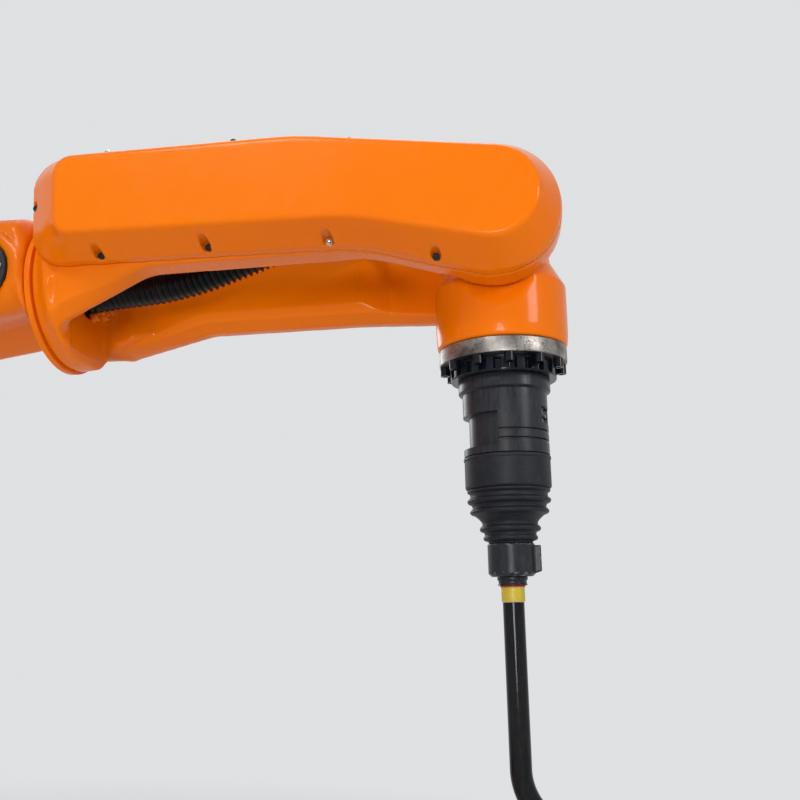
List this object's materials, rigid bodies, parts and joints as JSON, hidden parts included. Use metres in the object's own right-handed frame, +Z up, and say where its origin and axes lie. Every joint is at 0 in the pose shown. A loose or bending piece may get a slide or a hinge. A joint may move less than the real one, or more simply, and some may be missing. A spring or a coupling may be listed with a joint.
{
  "type": "industrial robot arm",
  "caption": "Floor-standing industrial robot arm with a gooseneck lower arm, a long elbow extension, a forked hollow forearm and a plumb wrist that holds a slim torch.",
  "frame": {"origin": "centre of the base flange's underside, on the base swing axis", "axes": "+Z up, +X the way the arm reaches at rest, +Y to the motor side"},
  "size_m": [1.7624, 0.5493, 1.3329],
  "materials": {
    "orange_enamel": "gloss enamel",
    "black_metal": "black anodised",
    "black_plastic": "moulded",
    "rubber": "matt",
    "ring_steel": "bare, lightly pitted",
    "yellow_label": "printed sleeve, left bare",
    "copper": "bare copper"
  },
  "bodies": {
    "base": {"base_casting": "orange_enamel", "connector_panel": "orange_enamel", "power_connector": "black_metal", "signal_connector": "black_metal"},
    "turret": {"turret_casting": "orange_enamel", "turn_motor": "black_metal", "shoulder_motor": "black_metal"},
    "lower_arm": {"lower_arm_casting": "orange_enamel", "shoulder_cap": "orange_enamel", "conduit_elbow": "black_plastic", "conduit": "rubber", "conduit_clamp_upper": "black_metal", "conduit_clamp_lower": "black_metal"},
    "upper_arm": {"elbow_casting": "orange_enamel", "elbow_motor": "black_metal", "roll_motor": "black_metal", "extension_casting": "orange_enamel", "side_panel_near": "black_plastic", "side_panel_far": "black_plastic"},
    "forearm": {"roll_flange": "orange_enamel", "forearm_casting": "orange_enamel", "cover_near": "orange_enamel", "cover_far": "orange_enamel", "cable_hose": "rubber", "hose_bracket": "black_metal"},
    "wrist": {"wrist_housing": "orange_enamel"},
    "tool": {"wrist_ring": "ring_steel", "adapter_ring": "black_metal", "sensor_body": "black_metal", "rubber_sleeve": "rubber", "bellows": "rubber", "clamp_collar": "black_metal", "ferrule": "black_metal", "label_band": "yellow_label", "torch_tube": "black_metal", "gas_nozzle": "copper", "contact_tip": "copper"}
  },
  "joints": [
    {"name": "base_swing", "type": "hinge", "parent": "base", "child": "turret", "pos_m": [0, 0, 0.205], "axis": [0, 0, 1], "range_deg": [-170, 170]},
    {"name": "shoulder_swing", "type": "hinge", "parent": "turret", "child": "lower_arm", "pos_m": [0.155, 0, 0.45], "axis": [0, 1, 0], "range_deg": [-75, 60]},
    {"name": "elbow_swing", "type": "hinge", "parent": "lower_arm", "child": "upper_arm", "pos_m": [0.40221, 0, 1.21084], "axis": [0, -1, 0], "range_deg": [-65, 110]},
    {"name": "forearm_roll", "type": "hinge", "parent": "upper_arm", "child": "forearm", "pos_m": [0.93187, 0, 1.2128], "axis": [0.9976, 0, 0.0698], "range_deg": [-150, 150]},
    {"name": "wrist_bend", "type": "hinge", "parent": "forearm", "child": "wrist", "pos_m": [1.4122, 0, 1.24639], "axis": [0, 1, 0], "range_deg": [-210, 25]},
    {"name": "tool_spin", "type": "hinge", "parent": "wrist", "child": "tool", "pos_m": [1.4122, 0, 1.24639], "axis": [-0.0192, 0, 0.9998], "range_deg": [-200, 200]}
  ]
}
